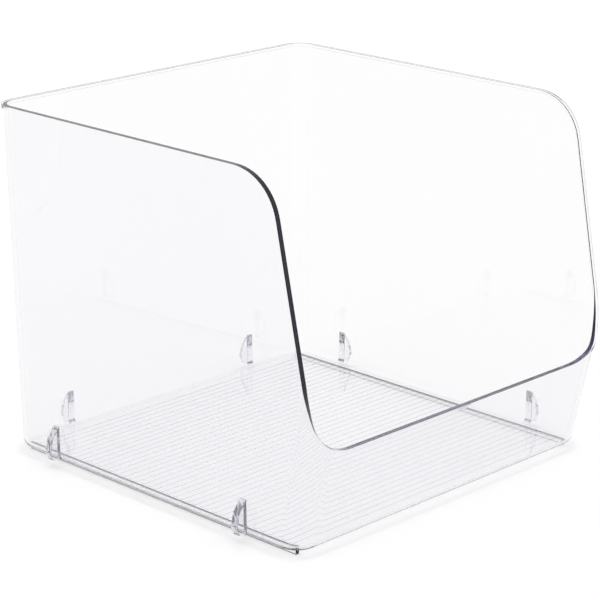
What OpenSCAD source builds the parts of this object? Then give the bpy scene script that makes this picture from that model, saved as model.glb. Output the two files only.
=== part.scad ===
// Stackable storage bin: a clear, open-fronted tub, moulded in one shot.
// Each module below is one region of the moulding, and the regions meet face to face.
// Units are millimetres. The origin is the middle of the footprint, at floor level.
// +Z is up, the open front faces -Y, and the width runs along X.

/* [Overall size] */
// Width across the rim, outside the bead
rim_w = 244; // [225:0.5:320]
// Depth from the back rim to the front lip, outside the bead
rim_d = 245.5; // [200:0.5:320]
// Height from the runners to the top of the rim
height = 204; // [160:1:260]
// Height of the top of the front lip
lip_h = 59; // [40:1:90]

/* [Walls] */
// Thickness of the walls and the floor
wall = 2.2; // [1.6:0.1:3]
// How far each side wall leans outward between the base and the rim
side_lean = 3.8; // [1:0.1:10]
// How far the back wall leans outward between the base and the rim
back_lean = 3.6; // [1:0.1:10]
// How far the front wall leans outward between the base and the lip
front_lean = 11.5; // [4:0.5:16]
// Outer radius of the upright corners, seen from above
corner_r = 13.5; // [10:0.5:20]
// Outer radius where the walls turn under into the floor
base_r = 5; // [3.5:0.5:7]

/* [Rim] */
// How far the bead stands out from the walls
bead_out = 1; // [0.6:0.1:2]
// Height of the bead, measured square to the edge that it follows
bead_h = 2; // [1.5:0.1:4]
// Depth from the lip back to where the slanted side edge would meet the rim's height
edge_setback = 28.5; // [20:0.1:45]
// Angle of the slanted side edge from the vertical
edge_lean = 11.5; // [6:0.5:18]
// Radius where the rim turns down into the slanted side edge
shoulder_r = 38; // [20:1:50]
// Radius where the slanted side edge runs out into the front lip
lip_r = 30; // [15:1:32]

/* [Floor ribs] */
// Distance from one floor rib to the next
rib_pitch = 5.2; // [4:0.1:8]
// Width of a floor rib
rib_w = 2.6; // [1.5:0.1:3]
// Height of a floor rib
rib_h = 0.4; // [0.2:0.1:1]
// Smooth border between the walls and the ribbed field
rib_margin = 9; // [6:1:20]

/* [Stacking lugs] */
// Thickness of a lug along the wall
lug_t = 4.8; // [3:0.1:7]
// How far a lug stands out from the wall at its widest
lug_out = 7.4; // [5:0.1:9]
// Height at which a lug tapers into the wall
lug_top = 24.5; // [22:0.5:32]
// Distance from the ends of the base to the middle of a side lug
lug_end = 39; // [30:1:50]
// Distance from the middle plane to each back lug
lug_x = 73.5; // [50:0.5:80]

/* [Runners] */
// Height of the runners, and of the base above the floor
runner_h = 2.5; // [1.5:0.1:4]
// Width of a runner
runner_w = 2.6; // [2:0.1:4]
// Distance from the side of the base to the outside of a runner
runner_inset = 6.2; // [5.5:0.1:9]
// Distance from each end of the base to the end of a runner
runner_end = 7; // [7:0.5:15]

/* [Hidden] */
// Segments in a quarter turn of an upright corner, of the base turn and of each edge arc
corner_steps = 12;
turn_steps = 5;
arc_steps = 10;
// Longest step along the slanted edge, in millimetres round the wall
edge_step = 2;
// Shortest step between two sections of a wall
min_step = 0.5;
// Overlap that makes two shapes of one sub-part a single solid
weld = 0.3;
// Heights of a lug's foot, of its widest point and of its upper shoulder
lug_foot_z = 5;
lug_belly_z = 9.5;
lug_shoulder_z = 17.5;

// Outer faces of the base, with the front lip's outside at y = 0
base_half = rim_w / 2 - bead_out - side_lean;
base_front = bead_out + front_lean;
base_back = rim_d - bead_out - back_lean;

// Outer faces of the walls, which all lean outward in straight lines from the base
function climb(z) = (z - runner_h) / (height - runner_h);
function side_at(z) = base_half + side_lean * climb(z);
function back_at(z) = base_back + back_lean * climb(z);
function front_at(z) = base_front - front_lean * (z - runner_h) / (lip_h - runner_h);

// A point of the shell. u goes round one half of the wall, from the middle of the front
// (0) to the front corner (1 to 2), along the side (2 to 3), round the back corner
// (3 to 4) and on to the middle of the back (5). d is the depth below the outer face.
function skin(u, z, d) =
    let (r = corner_r - d, cx = side_at(z) - corner_r)
    u <= 1 ? [u * cx, front_at(z) + d, z] :
    u <= 2 ? let (a = 90 * (u - 1)) [cx + r * sin(a), front_at(z) + corner_r - r * cos(a), z] :
    u <= 3 ? let (t = u - 2)
        [side_at(z) - d, (front_at(z) + corner_r) * (1 - t) + (back_at(z) - corner_r) * t, z] :
    u <= 4 ? let (a = 90 * (u - 3)) [cx + r * cos(a), back_at(z) - corner_r + r * sin(a), z] :
    [(5 - u) * cx, back_at(z) - d, z];

// The opening's edge is laid out on the unrolled wall as [s, z]: s is zero where the
// side meets the front corner, negative along the side and positive towards the lip.
corner_len = corner_r * PI / 2;
function side_s(y, z) = front_at(z) + corner_r - y;
function u_at(s, z) =
    s < 0 ? 2 - s / (back_at(z) - front_at(z) - 2 * corner_r) :
    s <= corner_len ? 2 - s / corner_len :
    1 - (s - corner_len) / (side_at(z) - corner_r);

function unit(v) = v / norm(v);
// The corner b of a path with neighbours a and c, rounded to radius r
function arc(a, b, c, r) =
    let (p = unit(a - b), q = unit(c - b), half = acos(p * q) / 2,
         mid = b + unit(p + q) * r / sin(half),
         from = b + p * r / tan(half) - mid, to = b + q * r / tan(half) - mid,
         start = atan2(from[1], from[0]),
         swing = atan2(from[0] * to[1] - from[1] * to[0], from * to))
    [for (i = [0:arc_steps])
        mid + r * [cos(start + swing * i / arc_steps), sin(start + swing * i / arc_steps)]];

// The edge runs level, down the slant and level again, and turns by edge_turn at each end
edge_top_y = edge_setback;
edge_foot_y = edge_top_y - (height - lip_h) * tan(edge_lean);
edge_top = [side_s(edge_top_y, height), height];
edge_foot = [side_s(edge_foot_y, lip_h), lip_h];
edge_turn = acos(unit(edge_foot - edge_top) * [1, 0]);
level = [99, 0];
// The corners of the same edge moved in by h, square to each stretch, and their arcs
function inset(p, h) = p - h * [tan(edge_turn / 2), 1];
function shoulder_arc(h) =
    arc(inset(edge_top, h) - level, inset(edge_top, h), inset(edge_foot, h), shoulder_r - h);
function foot_arc(h) =
    arc(inset(edge_top, h), inset(edge_foot, h), inset(edge_foot, h) + level, lip_r + h);
// Every edge has the same number of points on its slanted stretch
slant_steps = ceil((foot_arc(0)[0][0] - shoulder_arc(0)[arc_steps][0]) / edge_step);
function edge(h) =
    let (a = shoulder_arc(h), b = foot_arc(h), n = slant_steps)
    concat(a, [for (i = [1:n - 1]) a[arc_steps] + (b[0] - a[arc_steps]) * i / n], b);

edge_end = 2 * arc_steps + slant_steps;

// Edge of the walls under the bead, split where the side, the corner and the front meet
wall_edge = edge(bead_h);
function wall_edge_at(s) = [s, lookup(s, wall_edge)];
function edge_between(from, to) =
    [for (p = wall_edge) if (p[0] > from + min_step && p[0] < to - min_step) p];
side_edge = concat([wall_edge[0]], edge_between(wall_edge[0][0], 0), [wall_edge_at(0)]);
corner_edge = concat([wall_edge_at(0)], edge_between(0, corner_len), [wall_edge_at(corner_len)]);
front_edge = concat([wall_edge_at(corner_len)],
    edge_between(corner_len, wall_edge[edge_end][0]), [wall_edge[edge_end]]);

// Section of a wall with its top at z: [depth, height] points, clockwise from the top
// of the outer face, down and round the base turn, and back up the inner face
function turn(r) = [for (i = [0:turn_steps])
    let (a = 90 * i / turn_steps) [base_r - r * cos(a), runner_h + base_r - r * sin(a)]];
function back_to_front(list) = [for (i = [len(list) - 1:-1:0]) list[i]];
function wall_section(z) = concat([[0, z]], turn(base_r), back_to_front(turn(base_r - wall)), [[wall, z]]);
// The same section standing at u, and at a point [s, z] of the wall's edge
function wall_ring(u, z) = [for (p = wall_section(z)) skin(u, p[1], p[0])];
function edge_ring(p) = wall_ring(u_at(p[0], p[1]), p[1]);
// Section of the bead between the point low of the wall's edge and top of the rim's edge
function bead_ring(u_low, z_low, u_top, z_top) =
    [skin(u_top, z_top, -bead_out), skin(u_low, z_low, -bead_out),
     skin(u_low, z_low, wall), skin(u_top, z_top, wall)];
function edge_bead(low, top) = bead_ring(u_at(low[0], low[1]), low[1], u_at(top[0], top[1]), top[1]);
function flip_x(ring) = [for (p = ring) [-p[0], p[1], p[2]]];

// A closed solid through a row of rings that all have the same number of points. Each
// ring's first half faces its second half, so an end closes with strips from one half
// to the other.
module sweep(rings) {
    n = len(rings);
    m = len(rings[0]);
    sides = [for (i = [0:n - 2], j = [0:m - 1])
        let (a = i * m + j, b = i * m + (j + 1) % m)
        each [[a, b, b + m], [a, b + m, a + m]]];
    ends = [for (j = [0:m / 2 - 2])
        let (k = m - 1 - j, last = (n - 1) * m)
        each [[k, k - 1, j + 1], [k, j + 1, j],
            [last + j, last + j + 1, last + k - 1], [last + j, last + k - 1, last + k]]];
    polyhedron([for (r = rings) each r], concat(sides, ends), convexity = 8);
}

// The footprint reaches from the bead near the lip to the lugs on the back wall, and the
// origin is the middle of it
nose_y = min([for (p = foot_arc(0)) skin(u_at(p[0], p[1]), p[1], -bead_out)[1]]);
middle_y = (nose_y + base_back + lug_out) / 2;

// Clear plastic, in its place
module clear() {
    color([0.93, 0.94, 0.97, 0.35]) translate([0, -middle_y, 0]) children();
}

// Each region on the right has its twin on the left
module left() {
    mirror([1, 0, 0]) children();
}

corner_us = [for (i = [0:corner_steps]) 3 + i / corner_steps];
wall_top = height - bead_h;

module side_wall() {
    back_end = wall_ring(3, wall_top);
    clear() sweep(concat([back_end], [for (p = side_edge) edge_ring(p)]));
}

module back_corner() {
    clear() sweep([for (u = back_to_front(corner_us)) wall_ring(u, wall_top)]);
}

module front_corner() {
    clear() sweep([for (p = corner_edge) edge_ring(p)]);
}

module back_wall() {
    clear() sweep([flip_x(wall_ring(4, wall_top)), wall_ring(4, wall_top)]);
}

module front_wall() {
    half = [for (p = front_edge) edge_ring(p)];
    clear() sweep(concat(half, back_to_front([for (r = half) flip_x(r)])));
}

// The bead along the edge, from one point of the edge to another
module edge_rim(first, last) {
    rim_edge = edge(0);
    clear() sweep([for (i = [first:last]) edge_bead(wall_edge[i], rim_edge[i])]);
}

module side_rim() {
    clear() sweep([bead_ring(3, wall_top, 3, height), edge_bead(wall_edge[0], edge(0)[0])]);
}

module rim_corner() {
    clear() sweep([for (u = back_to_front(corner_us)) bead_ring(u, wall_top, u, height)]);
}

module back_rim() {
    ring = bead_ring(4, wall_top, 4, height);
    clear() sweep([flip_x(ring), ring]);
}

module front_lip() {
    ring = edge_bead(wall_edge[edge_end], edge(0)[edge_end]);
    clear() sweep([ring, flip_x(ring)]);
}

// Outline of the shell at height z and depth d, all the way round
function outline(z, d) =
    let (half = concat([for (p = back_to_front(corner_edge)) skin(u_at(p[0], z), z, d)],
        [for (u = corner_us) skin(u, z, d)]))
    concat(half, back_to_front(flip_x(half)));

module floor_panel() {
    field_x = 2 * (base_half - rib_margin);
    field_back = base_back - rib_margin;
    field_front = base_front + rib_margin;
    ribs = floor((field_back - field_front) / rib_pitch);
    first = (field_back + field_front - rib_pitch * (ribs - 1)) / 2;
    top = runner_h + wall;
    clear() {
        sweep([outline(top, base_r), outline(runner_h, base_r)]);
        for (i = [0:ribs - 1])
            translate([-field_x / 2, first + i * rib_pitch - rib_w / 2, top - weld])
                cube([field_x, rib_w, rib_h + weld]);
    }
}

module runner() {
    clear() translate([base_half - runner_inset - runner_w, base_front + runner_end, 0])
        cube([runner_w, base_back - base_front - 2 * runner_end, runner_h]);
}

// Profile of a lug on a wall that leans by slope, as [distance from the base, height]
function lug_profile(slope) =
    let (base_turn = [for (i = [0:turn_steps])
        let (a = 45 * i / turn_steps)
        [base_r * (cos(a) - 1), runner_h + base_r * (1 - sin(a))]])
    concat([[slope * (lug_top - runner_h), lug_top]], base_turn,
        [[lug_out * 0.7, lug_foot_z], [lug_out, lug_belly_z], [lug_out * 0.74, lug_shoulder_z]]);

module lug(slope) {
    rotate([90, 0, 0]) linear_extrude(lug_t, center = true) polygon(lug_profile(slope));
}

module side_lug(y) {
    clear() translate([base_half, y, 0]) lug(side_lean / (height - runner_h));
}

module back_lug(x) {
    clear() translate([x, base_back, 0]) rotate([0, 0, 90]) lug(back_lean / (height - runner_h));
}

floor_panel();
back_wall();
front_wall();
left() side_wall();  // left_side_wall
side_wall();  // right_side_wall
left() back_corner();  // back_left_corner
back_corner();  // back_right_corner
left() front_corner();  // front_left_corner
front_corner();  // front_right_corner
back_rim();
left() side_rim();  // left_rim
side_rim();  // right_rim
left() rim_corner();  // back_left_rim_corner
rim_corner();  // back_right_rim_corner
left() edge_rim(0, arc_steps);  // left_shoulder_rim
edge_rim(0, arc_steps);  // right_shoulder_rim
left() edge_rim(arc_steps, edge_end);  // left_front_rim
edge_rim(arc_steps, edge_end);  // right_front_rim
front_lip();
left() runner();  // left_runner
runner();  // right_runner
left() side_lug(base_back - lug_end);  // left_rear_lug
left() side_lug(base_front + lug_end);  // left_front_lug
side_lug(base_back - lug_end);  // right_rear_lug
side_lug(base_front + lug_end);  // right_front_lug
back_lug(-lug_x);  // back_left_lug
back_lug(lug_x);  // back_right_lug
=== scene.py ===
"""A clear stackable storage bin: its finished look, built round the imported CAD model."""

import math

import bmesh
import bpy
from mathutils import Matrix, Vector


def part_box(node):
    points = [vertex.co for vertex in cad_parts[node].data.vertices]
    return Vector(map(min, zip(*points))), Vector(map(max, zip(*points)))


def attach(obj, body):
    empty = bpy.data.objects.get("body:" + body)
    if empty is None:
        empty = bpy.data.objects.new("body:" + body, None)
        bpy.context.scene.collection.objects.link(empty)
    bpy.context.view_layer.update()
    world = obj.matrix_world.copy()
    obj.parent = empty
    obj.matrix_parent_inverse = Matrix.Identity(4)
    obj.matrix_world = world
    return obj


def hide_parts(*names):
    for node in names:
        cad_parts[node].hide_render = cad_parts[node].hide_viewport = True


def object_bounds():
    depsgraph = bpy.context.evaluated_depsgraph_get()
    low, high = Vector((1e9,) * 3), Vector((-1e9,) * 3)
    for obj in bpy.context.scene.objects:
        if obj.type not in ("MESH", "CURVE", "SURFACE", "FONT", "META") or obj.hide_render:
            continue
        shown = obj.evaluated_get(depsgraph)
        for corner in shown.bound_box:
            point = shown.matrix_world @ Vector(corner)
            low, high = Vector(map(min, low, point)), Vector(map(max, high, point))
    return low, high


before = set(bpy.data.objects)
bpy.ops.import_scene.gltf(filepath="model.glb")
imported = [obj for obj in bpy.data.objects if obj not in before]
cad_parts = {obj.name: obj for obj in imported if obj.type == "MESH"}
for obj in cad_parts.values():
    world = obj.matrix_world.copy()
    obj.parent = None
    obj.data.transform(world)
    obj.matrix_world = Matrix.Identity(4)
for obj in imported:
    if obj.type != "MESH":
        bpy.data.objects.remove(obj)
cad_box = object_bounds()

bl_info = {
    "name": "Stackable storage bin",
    "version": (1, 0, 0),
    "blender": (4, 5, 0),
    "location": "View3D > Sidebar > Bin",
    "description": "Makes a clear open-fronted storage bin and the studio that it stands in",
    "category": "Object",
}

MM = 0.001
PLASTIC = "moulded_clear_plastic"
BODY = "root"
FLOOR_SIDES = 64

# Points closer than this count as one, and heights closer than this as the same
TOUCH = 0.01 * MM

# The CAD regions that the shell stands for: they are one moulding
SHELL_NODES = [
    "floor_panel", "back_wall", "front_wall", "left_side_wall", "right_side_wall",
    "back_left_corner", "back_right_corner", "front_left_corner", "front_right_corner",
    "back_rim", "back_left_rim_corner", "back_right_rim_corner", "left_rim", "right_rim",
    "left_shoulder_rim", "right_shoulder_rim", "left_front_rim", "right_front_rim",
    "front_lip",
]
RUNNER_NODES = ["left_runner", "right_runner"]
SIDE_LUG_NODES = ["left_rear_lug", "left_front_lug", "right_rear_lug", "right_front_lug"]
BACK_LUG_NODES = ["back_left_lug", "back_right_lug"]


def length(name, description, millimetres):
    """A size that the user can change, in metres."""
    return bpy.props.FloatProperty(
        name=name, description=description, default=millimetres * MM, min=0.0,
        precision=4, subtype="DISTANCE", unit="LENGTH",
    )


def angle(name, description, degrees):
    """An angle that the user can change."""
    return bpy.props.FloatProperty(
        name=name, description=description, default=math.radians(degrees),
        subtype="ANGLE", unit="ROTATION",
    )


def number(name, description, value, high=10.0):
    """A plain number that the user can change."""
    return bpy.props.FloatProperty(
        name=name, description=description, default=value, min=0.0, max=high, precision=4,
    )


def colour(name, description, value):
    """A colour that the user can change."""
    return bpy.props.FloatVectorProperty(
        name=name, description=description, default=value, size=3, min=0.0, max=1.0,
        subtype="COLOR",
    )


class BinShape(bpy.types.PropertyGroup):
    """Sizes of the moulding, as in the CAD model."""

    rim_width: length("Rim width", "Across the outside of the side beads", 244)
    rim_depth: length("Rim depth", "From the lip to the back bead", 245.5)
    height: length("Height", "From the table to the top of the rim", 204)
    lip_height: length("Lip height", "From the table to the top of the front lip", 59)
    wall: length("Wall", "Thickness of the walls and of the floor", 2.2)
    side_lean: length("Side lean", "How far each side leans out over its height", 3.8)
    back_lean: length("Back lean", "How far the back leans out over its height", 3.6)
    front_lean: length("Front lean", "How far the front leans out up to its lip", 11.5)
    corner_radius: length("Corner radius", "Of the upright corners", 13.5)
    base_radius: length("Base radius", "Of the turn from the walls to the floor", 5)
    bead_out: length("Bead width", "How far the bead stands out of the wall", 1)
    bead_height: length("Bead height", "Of the bead on the walls' edge", 2)
    edge_setback: length("Edge setback", "From the lip to where the rim turns down", 28.5)
    edge_lean: angle("Edge lean", "Of the slanted side edges from upright", 11.5)
    shoulder_radius: length("Shoulder radius", "Of the edge's upper turn", 38)
    foot_radius: length("Foot radius", "Of the edge's lower turn, round the corner", 30)
    runner_height: length("Runner height", "The floor's height over the table", 2.5)
    edge_round: length("Edge rounding", "Of the bead's edges", 0.25)


class BaseShape(bpy.types.PropertyGroup):
    """Sizes of what the floor and the foot of the walls carry. The ribs are lower than in
    the CAD model, whose ribs look too strong in clear plastic."""

    rib_pitch: length("Rib pitch", "From one floor rib to the next", 5.2)
    rib_width: length("Rib width", "Of a floor rib", 2.6)
    rib_height: length("Rib height", "Of a floor rib over the floor", 0.1)
    rib_margin: length("Rib margin", "From the wall's outer face to the ribs", 9)
    rib_round: length("Rib rounding", "Of the ribs' edges", 0.05)
    rounding: length("Rounding", "Of the runners' and lugs' edges", 0.35)
    sink: length("Sink", "How far runners and lugs reach into the shell", 0.3)


class PlasticLook(bpy.types.PropertyGroup):
    """How the clear plastic looks."""

    tint: colour("Tint", "Of the clear plastic", (0.982, 0.982, 0.982))
    cloud: colour("Cloud", "The tint's slightly milkier patches", (0.972, 0.972, 0.975))
    # Painted reflection: a violet tint on everything the faces reflect, though the light tent
    # round the bin is plain white
    painted_reflection_tint: colour("Reflection", "Tint of what the faces reflect", (0.80, 0.76, 1.0))
    gloss: number("Gloss roughness", "Of the polished faces", 0.0, 1.0)
    haze: number("Haze roughness", "Of the faintly rubbed patches", 0.02, 1.0)
    waviness: number("Waviness", "Depth of the moulding's slow waves, in mm", 0.02)
    absorption: colour("Absorption", "Colour of light after a long way inside", (0.80, 0.78, 0.84))
    density: number("Density", "How strongly the plastic absorbs, per metre", 45.0, 200.0)


class StudioLook(bpy.types.PropertyGroup):
    """The floor, the light and the camera."""

    floor: colour("Floor", "Of the pale floor", (0.975, 0.975, 0.975))
    floor_size: length("Floor size", "Across the round floor", 16000)
    sky: colour("Surroundings", "Of the light tent round the table", (1.0, 1.0, 1.0))
    brightness: number("Brightness", "Of the light tent", 1.065)
    bounces: bpy.props.IntProperty(
        name="Bounces", description="How many faces light is followed through", default=32, min=1,
    )
    target: bpy.props.FloatVectorProperty(
        name="Camera target", description="The point that the camera looks at",
        default=(-0.0206, -0.0184, 0.0986), size=3, subtype="TRANSLATION", unit="LENGTH",
    )
    distance: length("Camera distance", "From the camera to its target", 1300)
    azimuth: angle("Camera azimuth", "Zero looks at the front", -45.736)
    elevation: angle("Camera elevation", "Above the table", 17.723)
    roll: angle("Camera roll", "About the line of sight", 0.233)
    lens: bpy.props.FloatProperty(
        name="Lens", description="The camera's focal length", default=140.62,
        subtype="DISTANCE_CAMERA",
    )


# ---------------------------------------------------------------- the shell's surface

# Steps in a corner's quarter turn, in the turn to the floor, and along the opening's edge
CORNER_STEPS = 16
TURN_STEPS = 8
ARC_STEPS = 14
SLANT_STEPS = 44
# Length in metres of the level lines that the edge's two arcs start and end on: only their
# direction counts
LEVEL = 0.1


def arc(before, corner, after, radius):
    """A path's corner rounded to the radius, as points from one side to the other."""
    back = (before - corner).normalized()
    on = (after - corner).normalized()
    half = math.acos(back.dot(on)) / 2
    middle = corner + (back + on).normalized() * radius / math.sin(half)
    start = corner + back * radius / math.tan(half) - middle
    end = corner + on * radius / math.tan(half) - middle
    swing = math.atan2(start.x * end.y - start.y * end.x, start.dot(end))
    return [middle + Matrix.Rotation(swing * i / ARC_STEPS, 2) @ start
            for i in range(ARC_STEPS + 1)]


class Surface:
    """Where the shell lies. A place round one half of the wall is u: the middle of the
    front is 0, the front corner runs from 1 to 2, the side to 3, the back corner to 4,
    and the middle of the back is 5."""

    def __init__(self, shape):
        self.shape = shape
        self.base_half = shape.rim_width / 2 - shape.bead_out - shape.side_lean
        self.lip_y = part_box("front_lip")[0].y
        self.base_front = self.lip_y + shape.bead_out + shape.front_lean
        self.base_back = self.lip_y + shape.rim_depth - shape.bead_out - shape.back_lean
        self.corner_length = shape.corner_radius * math.pi / 2

    def climb(self, z):
        """The share of the walls' height at z."""
        shape = self.shape
        return (z - shape.runner_height) / (shape.height - shape.runner_height)

    def side(self, z):
        """How far out the side's face is at z."""
        return self.base_half + self.shape.side_lean * self.climb(z)

    def back(self, z):
        """Where the back's face is at z."""
        return self.base_back + self.shape.back_lean * self.climb(z)

    def front(self, z):
        """Where the front's face is at z."""
        rise = (z - self.shape.runner_height) / (self.shape.lip_height - self.shape.runner_height)
        return self.base_front - self.shape.front_lean * rise

    def point(self, u, z, depth):
        """The point at u and height z, at this depth under the outer face."""
        radius = self.shape.corner_radius
        middle = self.side(z) - radius
        front, back = self.front(z), self.back(z)
        if u <= 1:
            return Vector((u * middle, front + depth, z))
        if u <= 2:
            turn = (u - 1) * math.pi / 2
            reach = radius - depth
            return Vector((middle + reach * math.sin(turn),
                           front + radius - reach * math.cos(turn), z))
        if u <= 3:
            along = u - 2
            return Vector((self.side(z) - depth,
                           (front + radius) * (1 - along) + (back - radius) * along, z))
        if u <= 4:
            turn = (u - 3) * math.pi / 2
            reach = radius - depth
            return Vector((middle + reach * math.cos(turn),
                           back - radius + reach * math.sin(turn), z))
        return Vector(((5 - u) * middle, back - depth, z))

    def u_at(self, s, z):
        """The place round the wall that lies s past the end of the side, on the face."""
        if s < 0:
            return 2 - s / (self.back(z) - self.front(z) - 2 * self.shape.corner_radius)
        if s <= self.corner_length:
            return 2 - s / self.corner_length
        return 1 - (s - self.corner_length) / (self.side(z) - self.shape.corner_radius)

    def edge(self, inset):
        """The opening's edge on the unrolled wall, moved in: level, slanted and level."""
        shape = self.shape
        top_y = self.lip_y + shape.edge_setback
        foot_y = top_y - (shape.height - shape.lip_height) * math.tan(shape.edge_lean)
        top = Vector((self.front(shape.height) + shape.corner_radius - top_y, shape.height))
        foot = Vector((self.front(shape.lip_height) + shape.corner_radius - foot_y,
                       shape.lip_height))
        turn = (foot - top).normalized().angle(Vector((1, 0)))
        move = Vector((math.tan(turn / 2), 1)) * inset
        top -= move
        foot -= move
        level = Vector((LEVEL, 0))
        shoulder = arc(top - level, top, foot, shape.shoulder_radius - inset)
        lower = arc(top, foot, foot + level, shape.foot_radius + inset)
        slant = [shoulder[-1].lerp(lower[0], i / SLANT_STEPS) for i in range(1, SLANT_STEPS)]
        return shoulder + slant + lower


def base_turn(shape, radius):
    """The turn from a wall to the floor, as (depth, height) from the wall down."""
    steps = [math.pi / 2 * i / TURN_STEPS for i in range(TURN_STEPS + 1)]
    floor = shape.runner_height + shape.base_radius
    return [(shape.base_radius - radius * math.cos(a), floor - radius * math.sin(a))
            for a in steps]


def wall_section(surface, low_u, low_z, top_u, top_z):
    """The section of the shell from under the floor, up the wall's outside, over the
    bead and down the inside. The wall's edge is at low and the bead's top at top."""
    shape = surface.shape
    outside = base_turn(shape, shape.base_radius)[::-1] + [(0.0, low_z), (-shape.bead_out, low_z)]
    inside = [(shape.wall, low_z)] + base_turn(shape, shape.base_radius - shape.wall)
    bead = [surface.point(top_u, top_z, -shape.bead_out), surface.point(top_u, top_z, shape.wall)]
    return (
        [surface.point(low_u, z, depth) for depth, z in outside]
        + bead
        + [surface.point(low_u, z, depth) for depth, z in inside]
    )


def half_sections(surface):
    """The sections from the middle of the back to the middle of the front."""
    shape = surface.shape
    low, high = shape.height - shape.bead_height, shape.height
    corner = [4 - i / CORNER_STEPS for i in range(CORNER_STEPS + 1)]
    sections = [wall_section(surface, u, low, u, high) for u in [5] + corner]
    for wall_edge, bead_edge in zip(surface.edge(shape.bead_height), surface.edge(0)):
        sections.append(wall_section(
            surface, surface.u_at(*wall_edge), wall_edge.y,
            surface.u_at(*bead_edge), bead_edge.y))
    low, high = shape.lip_height - shape.bead_height, shape.lip_height
    return sections + [wall_section(surface, 0, low, 0, high)]


def mirrored(section):
    """The same section on the other side of the bin."""
    return [Vector((-p.x, p.y, p.z)) for p in section]


# ---------------------------------------------------------------- mesh helpers

# Edges with more than this between their faces stay sharp
SHARP = math.radians(50)
# The same for the lugs' edges that are rounded, and the turn below which faces are merged
LUG_SHARP = math.radians(60)
FLAT = math.radians(1)
# Steps in a rounded edge, and in a rib's rounded edge
ROUND_STEPS = 3
RIB_ROUND_STEPS = 2


def wrap_sheet(bm, sections):
    """A flat sheet of quads laid through a row of sections."""
    columns, rows = len(sections) - 1, len(sections[0]) - 1
    sheet = bmesh.ops.create_grid(bm, x_segments=columns, y_segments=rows, size=0.5)
    for vert in sheet["verts"]:
        column = round((vert.co.x + 0.5) * columns)
        row = round((vert.co.y + 0.5) * rows)
        vert.co = sections[column][row]


def open_edges(bm, z):
    """The edges at height z that have a face on one side only."""
    return [e for e in bm.edges
            if e.is_boundary and all(abs(v.co.z - z) < TOUCH for v in e.verts)]


def round_edges(bm, edges, width, segments):
    """Rounds these edges."""
    bmesh.ops.bevel(
        bm, geom=edges, offset=width, offset_type="OFFSET", segments=segments,
        profile=0.5, affect="EDGES", material=-1, clamp_overlap=True,
    )


def settle_order(bm):
    """Sorts edges and faces by their vertices, as extrusions and bevels leave them in an
    order that changes from run to run."""
    bm.verts.index_update()

    def rank(item):
        """A number of its own for each edge or face, made from its first vertices."""
        number = 0
        for index in sorted(v.index for v in item.verts)[:3]:
            number = number * len(bm.verts) + index
        return number

    bm.edges.sort(key=rank)
    bm.faces.sort(key=rank)


def finish_piece(name, bm, nodes, material):
    """Makes the mesh a piece of the bin that stands for these CAD nodes."""
    settle_order(bm)
    bmesh.ops.recalc_face_normals(bm, faces=bm.faces)
    for face in bm.faces:
        face.smooth = True
    for edge in bm.edges:
        edge.smooth = edge.calc_face_angle(0.0) < SHARP
    mesh = bpy.data.meshes.new(name)
    bm.to_mesh(mesh)
    bm.free()
    piece = bpy.data.objects.new(name, mesh)
    bpy.context.scene.collection.objects.link(piece)
    mesh.materials.append(material)
    normals = piece.modifiers.new("Flat faces stay flat", "WEIGHTED_NORMAL")
    normals.keep_sharp = True
    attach(piece, BODY)
    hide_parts(*nodes)


# ---------------------------------------------------------------- materials

# How much clear plastic bends light
BENDING = 1.5
# The number of the Texture Coordinate node's Object output
OBJECT_PLACE = 3
# How much darker the floor's second shade is
FLOOR_SHADE = 0.995


class Wire:
    """A shader socket. Sums of wires and numbers add Math nodes."""

    def __init__(self, tree, socket=None):
        self.tree = tree
        self.socket = socket

    def node(self, kind, settings=None, inputs=None, output=0):
        """A new node with its settings made and its inputs set or linked."""
        made = self.tree.nodes.new(kind)
        for name, value in (settings or {}).items():
            setattr(made, name, value)
        for name, value in (inputs or {}).items():
            if isinstance(value, Wire):
                self.tree.links.new(value.socket, made.inputs[name])
            else:
                made.inputs[name].default_value = value
        return Wire(self.tree, made.outputs[output] if len(made.outputs) else None)

    def calculate(self, operation, other):
        """A Math node on this wire and another value."""
        return self.node("ShaderNodeMath", {"operation": operation}, {0: self, 1: other})

    def __add__(self, other):
        return self.calculate("ADD", other)

    def __mul__(self, other):
        return self.calculate("MULTIPLY", other)

    __radd__ = __add__
    __rmul__ = __mul__


def new_material(name):
    """An empty node material and the wire that its nodes are made from."""
    material = bpy.data.materials.new(name)
    material.use_nodes = True
    material.node_tree.nodes.clear()
    return material, Wire(material.node_tree)


def noise(wire, place, scale, detail):
    """Soft noise from 0 to 1, with so many patches in a metre."""
    return wire.node("ShaderNodeTexNoise", {}, {"Vector": place, "Scale": scale, "Detail": detail})


def blend_colours(wire, share, first, second):
    """A mix of two colours."""
    return wire.node(
        "ShaderNodeMix", {"data_type": "RGBA"},
        {0: share, 6: (*first, 1.0), 7: (*second, 1.0)}, output=2)


def clear_plastic(look):
    """Glossy clear plastic with slow moulding waves and faintly rubbed patches, and a violet tint
    painted onto its reflections.
    """
    material, wire = new_material(PLASTIC)
    place = wire.node("ShaderNodeTexCoord", output=OBJECT_PLACE)
    patches = noise(wire, place, scale=14.0, detail=3.0)
    rubbed = noise(wire, place, scale=60.0, detail=5.0)
    waves = noise(wire, place, scale=22.0, detail=1.0)
    roughness = look.gloss + (look.haze - look.gloss) * rubbed * rubbed * patches
    relief = wire.node("ShaderNodeBump", {}, {
        "Strength": 1.0, "Distance": look.waviness * MM, "Height": waves})
    shader = wire.node("ShaderNodeBsdfPrincipled", {}, {
        "Base Color": blend_colours(wire, patches, look.tint, look.cloud),
        "Roughness": roughness,
        "IOR": BENDING,
        "Transmission Weight": 1.0,
        # Painted reflection: the faces' reflections are tinted violet, a colour that nothing in
        # the studio has
        "Specular Tint": (*look.painted_reflection_tint, 1.0),
        "Normal": relief,
    })
    inside = wire.node("ShaderNodeVolumeAbsorption", {}, {
        "Color": (*look.absorption, 1.0), "Density": look.density})
    wire.node("ShaderNodeOutputMaterial", {}, {"Surface": shader, "Volume": inside})
    return material


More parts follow.
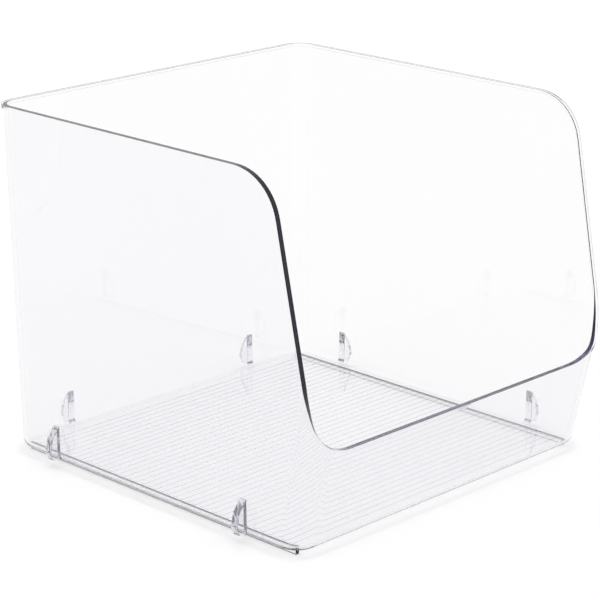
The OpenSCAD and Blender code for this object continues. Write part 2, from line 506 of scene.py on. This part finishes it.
def plain_floor(look):
    """A matt pale floor with the faintest unevenness."""
    material, wire = new_material("studio_floor")
    place = wire.node("ShaderNodeTexCoord", output=OBJECT_PLACE)
    shade = noise(wire, place, scale=3.0, detail=2.0)
    darker = [c * FLOOR_SHADE for c in look.floor]
    shader = wire.node("ShaderNodeBsdfPrincipled", {}, {
        "Base Color": blend_colours(wire, shade, look.floor, darker),
        "Roughness": 0.9,
        "Specular IOR Level": 0.0,
    })
    wire.node("ShaderNodeOutputMaterial", {}, {"Surface": shader})
    return material


def bin_material():
    """The bin's clear plastic, made once."""
    return bpy.data.materials.get(PLASTIC) or clear_plastic(bpy.context.scene.bin_plastic)


# ---------------------------------------------------------------- operators


class BIN_OT_shell(bpy.types.Operator):
    """Make the moulding: walls, beaded rim, low front and ribbed floor"""

    bl_idname = "bin.shell"
    bl_label = "Shell"

    def execute(self, context):
        shape, base = context.scene.bin_shape, context.scene.bin_base
        surface = Surface(shape)
        half = half_sections(surface)
        bm = bmesh.new()
        wrap_sheet(bm, half + [mirrored(s) for s in half[-2::-1]])
        bmesh.ops.remove_doubles(bm, verts=bm.verts, dist=TOUCH)
        under, top = shape.runner_height, shape.runner_height + shape.wall
        bmesh.ops.triangle_fill(bm, edges=open_edges(bm, under), use_beauty=True)
        self.add_ribs(bm, surface, base, top)
        self.round_rim(bm, shape)
        finish_piece("bin_shell", bm, SHELL_NODES, bin_material())
        return {"FINISHED"}

    def add_ribs(self, bm, surface, base, top):
        """Fills the floor's upper face and raises its ribs."""
        half_x = surface.base_half - base.rib_margin
        front = surface.base_front + base.rib_margin
        back = surface.base_back - base.rib_margin
        count = int((back - front) / base.rib_pitch)
        start = (front + back - base.rib_pitch * (count - 1) - base.rib_width) / 2
        strips = 2 * count - 1
        field = bmesh.ops.create_grid(bm, x_segments=1, y_segments=strips, size=0.5)["verts"]
        for vert in field:
            row = round((vert.co.y + 0.5) * strips)
            y = start + row // 2 * base.rib_pitch + row % 2 * base.rib_width
            vert.co = Vector((vert.co.x * 2 * half_x, y, top))
        faces = sorted({f for v in field for f in v.link_faces},
                       key=lambda f: f.calc_center_median().y)
        bmesh.ops.triangle_fill(bm, edges=open_edges(bm, top), use_beauty=True)
        raised = bmesh.ops.extrude_face_region(bm, geom=faces[::2])
        lifted = [g for g in raised["geom"] if isinstance(g, bmesh.types.BMVert)]
        bmesh.ops.translate(bm, verts=lifted, vec=(0, 0, base.rib_height))
        bmesh.ops.delete(bm, geom=faces[::2], context="FACES_ONLY")
        crest_verts = set(lifted)
        crests = [e for e in bm.edges if crest_verts.issuperset(e.verts)]
        round_edges(bm, crests, base.rib_round, RIB_ROUND_STEPS)

    def round_rim(self, bm, shape):
        """Rounds the edges of the bead."""
        lowest = shape.lip_height - 2 * shape.bead_height
        edges = [e for e in bm.edges
                 if e.calc_face_angle(0.0) > SHARP and min(v.co.z for v in e.verts) > lowest]
        round_edges(bm, edges, shape.edge_round, ROUND_STEPS)


class BIN_OT_runners(bpy.types.Operator):
    """Make the two runners that the bin stands on"""

    bl_idname = "bin.runners"
    bl_label = "Runners"

    def execute(self, context):
        base = context.scene.bin_base
        for node in RUNNER_NODES:
            low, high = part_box(node)
            high = high + Vector((0, 0, base.sink))
            bm = bmesh.new()
            bmesh.ops.create_cube(bm, size=1.0)
            bmesh.ops.scale(bm, vec=high - low, verts=bm.verts)
            bmesh.ops.translate(bm, vec=(low + high) / 2, verts=bm.verts)
            foot = [e for e in bm.edges if min(v.co.z for v in e.verts) < low.z + TOUCH]
            round_edges(bm, foot, base.rounding, ROUND_STEPS)
            finish_piece(node + "_bar", bm, [node], bin_material())
        return {"FINISHED"}


class BIN_OT_lugs(bpy.types.Operator):
    """Make the six stacking lugs at the foot of the walls"""

    bl_idname = "bin.lugs"
    bl_label = "Stacking lugs"

    def execute(self, context):
        for node in SIDE_LUG_NODES + BACK_LUG_NODES:
            bm = bmesh.new()
            bm.from_mesh(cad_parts[node].data)
            bmesh.ops.remove_doubles(bm, verts=bm.verts, dist=TOUCH)
            bmesh.ops.dissolve_limit(
                bm, angle_limit=FLAT, verts=bm.verts, edges=bm.edges)
            edges = [e for e in bm.edges if e.calc_face_angle(0.0) > LUG_SHARP]
            round_edges(bm, edges, context.scene.bin_base.rounding, ROUND_STEPS)
            finish_piece(node + "_moulding", bm, [node], bin_material())
        return {"FINISHED"}


class BIN_OT_studio(bpy.types.Operator):
    """Make the pale floor, the light tent and the camera"""

    bl_idname = "bin.studio"
    bl_label = "Studio"

    def execute(self, context):
        look = context.scene.bin_studio
        self.add_floor(look)
        self.add_light(look)
        self.add_camera(look)
        self.follow_light(context.scene, look)
        context.scene.view_settings.view_transform = "Standard"
        return {"FINISHED"}

    def add_floor(self, look):
        """A round floor, at the height that the bin stands on."""
        bm = bmesh.new()
        bmesh.ops.create_circle(
            bm, cap_ends=True, segments=FLOOR_SIDES, radius=look.floor_size / 2)
        bmesh.ops.translate(bm, vec=(0, 0, cad_box[0].z), verts=bm.verts)
        mesh = bpy.data.meshes.new("studio_floor")
        bm.to_mesh(mesh)
        bm.free()
        mesh.materials.append(plain_floor(look))
        floor = bpy.data.objects.new("studio_floor", mesh)
        bpy.context.scene.collection.objects.link(floor)

    def add_light(self, look):
        """An even light from all round."""
        world = bpy.data.worlds.new("light_tent")
        world.use_nodes = True
        world.node_tree.nodes.clear()
        wire = Wire(world.node_tree)
        glow = wire.node("ShaderNodeBackground", {}, {
            "Color": (*look.sky, 1.0), "Strength": look.brightness})
        wire.node("ShaderNodeOutputWorld", {}, {"Surface": glow})
        bpy.context.scene.world = world

    def follow_light(self, scene, look):
        """Lets light pass many faces of the clear walls before it is given up."""
        scene.cycles.max_bounces = look.bounces
        scene.cycles.transmission_bounces = look.bounces
        scene.cycles.glossy_bounces = look.bounces
        scene.cycles.diffuse_bounces = look.bounces
        scene.cycles.blur_glossy = 0.0

    def add_camera(self, look):
        """A long lens that looks down at the bin's left front corner."""
        camera = bpy.data.objects.new("camera", bpy.data.cameras.new("camera"))
        camera.data.lens = look.lens
        bpy.context.scene.collection.objects.link(camera)
        turn = (
            Matrix.Rotation(look.azimuth, 4, "Z")
            @ Matrix.Rotation(math.pi / 2 - look.elevation, 4, "X")
            @ Matrix.Rotation(look.roll, 4, "Z")
        )
        place = Vector(look.target) + turn.to_3x3() @ Vector((0, 0, look.distance))
        camera.matrix_world = Matrix.Translation(place) @ turn
        bpy.context.scene.camera = camera


OPERATORS = [BIN_OT_studio, BIN_OT_shell, BIN_OT_runners, BIN_OT_lugs]
GROUPS = {
    "bin_shape": BinShape,
    "bin_base": BaseShape,
    "bin_plastic": PlasticLook,
    "bin_studio": StudioLook,
}


class BIN_PT_panel(bpy.types.Panel):
    """The bin's sizes, colours and pieces"""

    bl_idname = "BIN_PT_panel"
    bl_label = "Storage bin"
    bl_space_type = "VIEW_3D"
    bl_region_type = "UI"
    bl_category = "Bin"

    def draw(self, context):
        for name, group in GROUPS.items():
            box = self.layout.box()
            for prop in group.__annotations__:
                box.prop(getattr(context.scene, name), prop)
        for operator in OPERATORS:
            self.layout.operator(operator.bl_idname)


def register():
    """Registers the classes and gives the scene its settings."""
    for cls in [*GROUPS.values(), *OPERATORS, BIN_PT_panel]:
        bpy.utils.register_class(cls)
    for name, group in GROUPS.items():
        setattr(bpy.types.Scene, name, bpy.props.PointerProperty(type=group))


def unregister():
    """Takes the settings and the classes away again."""
    for name in GROUPS:
        delattr(bpy.types.Scene, name)
    for cls in [BIN_PT_panel, *OPERATORS[::-1], *list(GROUPS.values())[::-1]]:
        bpy.utils.unregister_class(cls)


def main():
    """Makes the scene."""
    register()
    bpy.ops.bin.studio()
    bpy.ops.bin.shell()
    bpy.ops.bin.runners()
    bpy.ops.bin.lugs()


if __name__ == "__main__":
    main()
